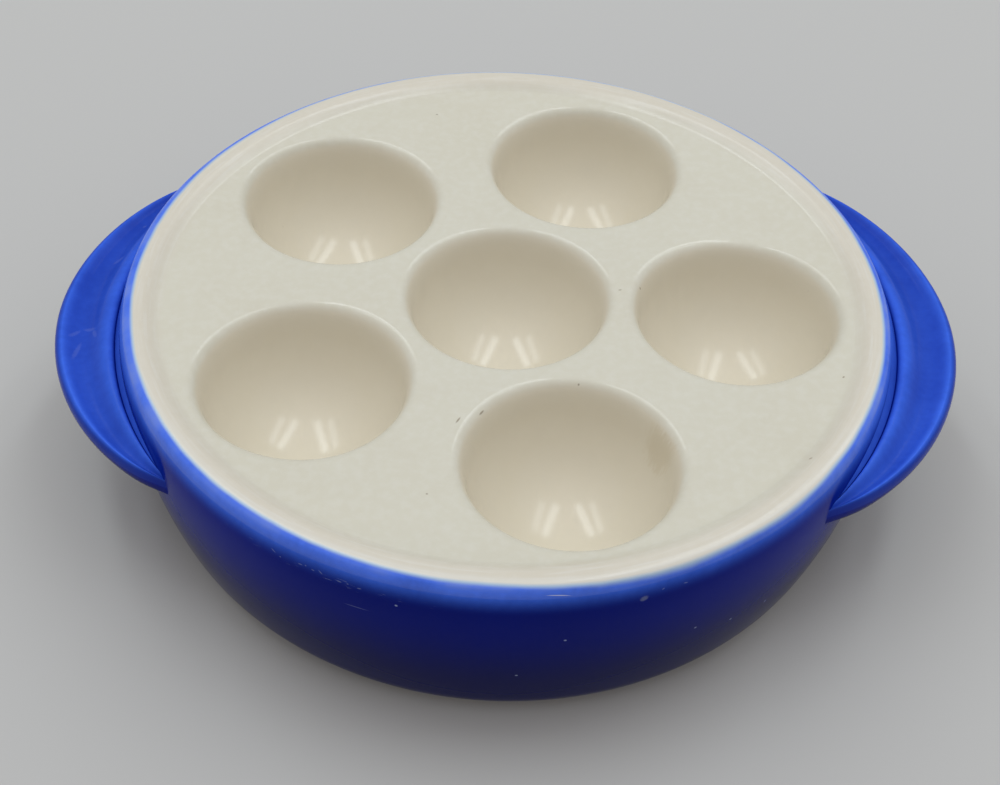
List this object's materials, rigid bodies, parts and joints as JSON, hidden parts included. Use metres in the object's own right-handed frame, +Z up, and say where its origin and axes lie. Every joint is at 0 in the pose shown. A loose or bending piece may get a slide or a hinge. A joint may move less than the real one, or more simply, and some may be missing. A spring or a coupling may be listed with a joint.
{
  "type": "escargot dish",
  "caption": "Round glazed stoneware escargot dish with hemispherical wells sunk in a cream deck, a low rim, a blue convex wall and crescent ear handles.",
  "frame": {"origin": "on the table, at the middle of the foot, under the middle well", "axes": "+X along the line through the ears, towards the right ear; +Z up, out of the wells"},
  "size_m": [0.1694, 0.1422, 0.0406],
  "materials": {
    "cream_glaze": "gloss",
    "blue_glaze": "gloss",
    "bare_clay": "matte"
  },
  "bodies": {
    "root": {"well_deck": "cream_glaze", "cup_middle": "cream_glaze", "cup_1": "cream_glaze", "cup_2": "cream_glaze", "cup_3": "cream_glaze", "cup_4": "cream_glaze", "cup_5": "cream_glaze", "outer_wall": "blue_glaze", "foot_ring": "bare_clay", "ear_right": "blue_glaze", "ear_left": "blue_glaze"}
  },
  "joints": []
}
